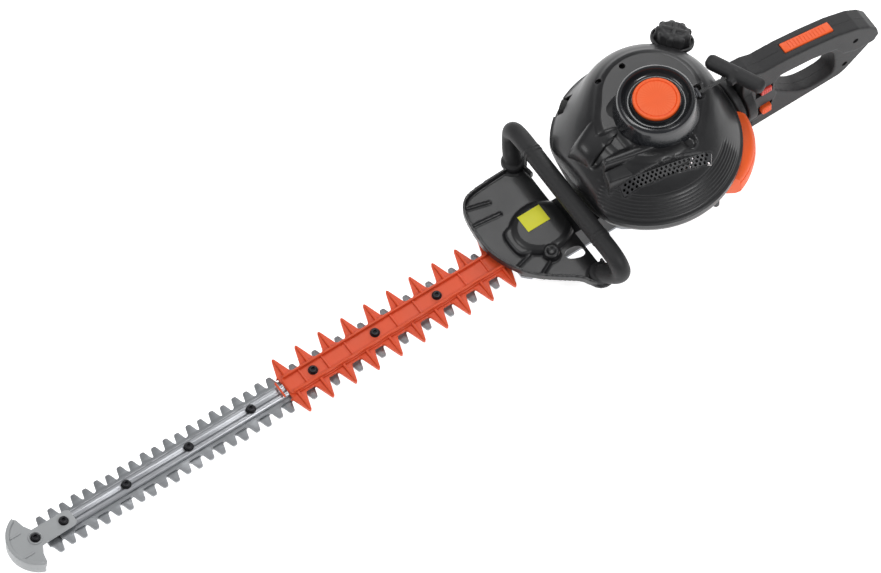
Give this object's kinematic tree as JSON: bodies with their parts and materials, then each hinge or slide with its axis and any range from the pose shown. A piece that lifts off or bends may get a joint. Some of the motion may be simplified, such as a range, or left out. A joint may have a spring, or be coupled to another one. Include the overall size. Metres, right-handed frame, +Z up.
{
  "type": "petrol hedge trimmer",
  "caption": "Petrol hedge trimmer with a double-sided reciprocating blade, round engine unit with recoil starter, hand shield, loop front handle and swivelling rear handle.",
  "frame": {"origin": "crank axis at the flat underside of the gear case base", "axes": "+X along the blade to its tip, +Y to the machine's left, +Z up along the crank axis"},
  "size_m": [1.136, 0.2284, 0.188],
  "materials": {
    "steel": "satin",
    "dark_steel": "dark, oiled",
    "aluminium": "cast, matte",
    "orange": "satin",
    "red": "satin",
    "grey": "satin",
    "black": "satin, fine texture",
    "gloss_black": "gloss",
    "rubber": "matte",
    "paper": "pleated paper",
    "rope": "braided",
    "yellow": "printed sheet"
  },
  "bodies": {
    "trimmer": {"guide_bar": "steel", "tooth_guard": "orange", "tip_guard": "grey", "gear_case": "aluminium", "gear_case_base": "aluminium", "gear_bearing": "steel", "drum_bearing": "steel", "crank_bearing_lower": "steel", "crank_bearing_upper": "steel", "crankcase": "aluminium", "cylinder": "aluminium", "spark_plug": "steel", "plug_boot": "rubber", "muffler": "dark_steel", "ignition_coil": "black", "carburettor": "aluminium", "air_filter_case": "black", "air_filter_element": "paper", "air_filter_cover": "orange", "fuel_tank": "grey", "engine_cover": "gloss_black", "lower_cover": "black", "outlet_panel": "black", "starter_housing": "gloss_black", "starter_disc": "orange", "recoil_spring": "steel", "hand_shield": "black", "shield_plate": "yellow", "loop_handle": "black", "loop_bolt_left": "dark_steel", "loop_bolt_right": "dark_steel", "swivel_mount": "black"},
    "upper_blade_unit": {"upper_blade": "steel", "upper_rod": "dark_steel"},
    "lower_blade_unit": {"lower_blade": "steel", "lower_rod": "dark_steel"},
    "drive_gear_unit": {"drive_gear": "dark_steel"},
    "clutch_drum_unit": {"clutch_drum": "dark_steel"},
    "crankshaft": {"crank_lower": "steel", "crank_upper": "steel", "flywheel": "aluminium"},
    "shoe_left": {"clutch_shoe_left": "dark_steel"},
    "shoe_right": {"clutch_shoe_right": "dark_steel"},
    "piston_unit": {"connecting_rod": "steel", "piston": "aluminium", "piston_pin": "steel"},
    "pulley_unit": {"starter_pulley": "grey"},
    "pull_grip": {"starter_grip": "black", "starter_rope": "rope"},
    "fuel_cap_unit": {"fuel_cap": "black"},
    "choke": {"choke_lever": "black"},
    "primer": {"primer_bulb": "red"},
    "rear_handle": {"handle_shell_left": "black", "handle_shell_right": "black"},
    "trigger": {"throttle_trigger": "red"},
    "throttle_lock": {"grip_inlay": "orange"},
    "stop_switch_unit": {"stop_switch": "red"},
    "handle_latch": {"swivel_latch": "orange"}
  },
  "joints": [
    {"name": "upper_blade_slide", "type": "slide", "parent": "trimmer", "child": "upper_blade_unit", "axis": [1, 0, 0], "range_m": [-0.0075, 0.0075]},
    {"name": "lower_blade_slide", "type": "slide", "parent": "trimmer", "child": "lower_blade_unit", "axis": [1, 0, 0], "range_m": [-0.0075, 0.0075]},
    {"name": "drive_gear_spin", "type": "hinge", "parent": "trimmer", "child": "drive_gear_unit", "pos_m": [0.0375, 0, 0.042], "axis": [0, 0, 1], "continuous": true},
    {"name": "clutch_drum_spin", "type": "hinge", "parent": "trimmer", "child": "clutch_drum_unit", "pos_m": [0, 0, 0.06], "axis": [0, 0, 1], "continuous": true},
    {"name": "crank_spin", "type": "hinge", "parent": "trimmer", "child": "crankshaft", "pos_m": [0, 0, 0.107], "axis": [0, 0, 1], "continuous": true},
    {"name": "clutch_shoe_left_slide", "type": "slide", "parent": "crankshaft", "child": "shoe_left", "axis": [0, 1, 0], "range_m": [0, 0.0008], "stiffness_N_per_m": 3000, "springref_m": -0.001},
    {"name": "clutch_shoe_right_slide", "type": "slide", "parent": "crankshaft", "child": "shoe_right", "axis": [0, -1, 0], "range_m": [0, 0.0008], "stiffness_N_per_m": 3000, "springref_m": -0.001},
    {"name": "piston_slide", "type": "slide", "parent": "trimmer", "child": "piston_unit", "axis": [0.6018, -0.7986, 0], "range_m": [-0.028, 0]},
    {"name": "starter_pulley_turn", "type": "hinge", "parent": "trimmer", "child": "pulley_unit", "pos_m": [0, 0, 0.16], "axis": [0, 0, 1], "range_deg": [0, 1180], "stiffness_Nm_per_rad": 0.003, "springref_deg": -458.37},
    {"name": "starter_pull", "type": "slide", "parent": "trimmer", "child": "pull_grip", "axis": [-0.9001, 0.07, 0.43], "range_m": [0, 0.6], "deforming": ["starter_rope"]},
    {"name": "fuel_cap_turn", "type": "hinge", "parent": "trimmer", "child": "fuel_cap_unit", "pos_m": [-0.073, -0.074, 0.132], "axis": [-0.3946, -0.2577, 0.882], "range_deg": [0, 90]},
    {"name": "choke_turn", "type": "hinge", "parent": "trimmer", "child": "choke", "pos_m": [-0.01005, 0.0769, 0.08], "axis": [0, 0, 1], "range_deg": [-30, 0]},
    {"name": "primer_press", "type": "slide", "parent": "trimmer", "child": "primer", "axis": [0.9063, 0.4226, 0], "range_m": [0, 0.005], "stiffness_N_per_m": 300, "springref_m": -0.0005},
    {"name": "rear_handle_turn", "type": "hinge", "parent": "trimmer", "child": "rear_handle", "pos_m": [-0.105, 0, 0.078], "axis": [1, 0, 0], "range_deg": [-90, 90]},
    {"name": "throttle_trigger_turn", "type": "hinge", "parent": "rear_handle", "child": "trigger", "pos_m": [-0.156, 0, 0.103], "axis": [0, 1, 0], "range_deg": [0, 12], "stiffness_Nm_per_rad": 0.3, "springref_deg": -8.59},
    {"name": "throttle_lock_press", "type": "slide", "parent": "rear_handle", "child": "throttle_lock", "axis": [0, 0, -1], "range_m": [0, 0.003], "stiffness_N_per_m": 600, "springref_m": -0.0005},
    {"name": "stop_switch_slide", "type": "slide", "parent": "rear_handle", "child": "stop_switch_unit", "axis": [1, 0, 0], "range_m": [0, 0.005]},
    {"name": "swivel_latch_slide", "type": "slide", "parent": "rear_handle", "child": "handle_latch", "axis": [1, 0, 0], "range_m": [0, 0.005], "stiffness_N_per_m": 600, "springref_m": -0.0005}
  ],
  "couplings": [
    {"joint": "lower_blade_slide", "follows": "upper_blade_slide", "ratio": -1},
    {"joint": "clutch_drum_spin", "follows": "drive_gear_spin", "ratio": -4},
    {"joint": "starter_pull", "follows": "starter_pulley_turn", "m_per_rad": 0.029}
  ]
}
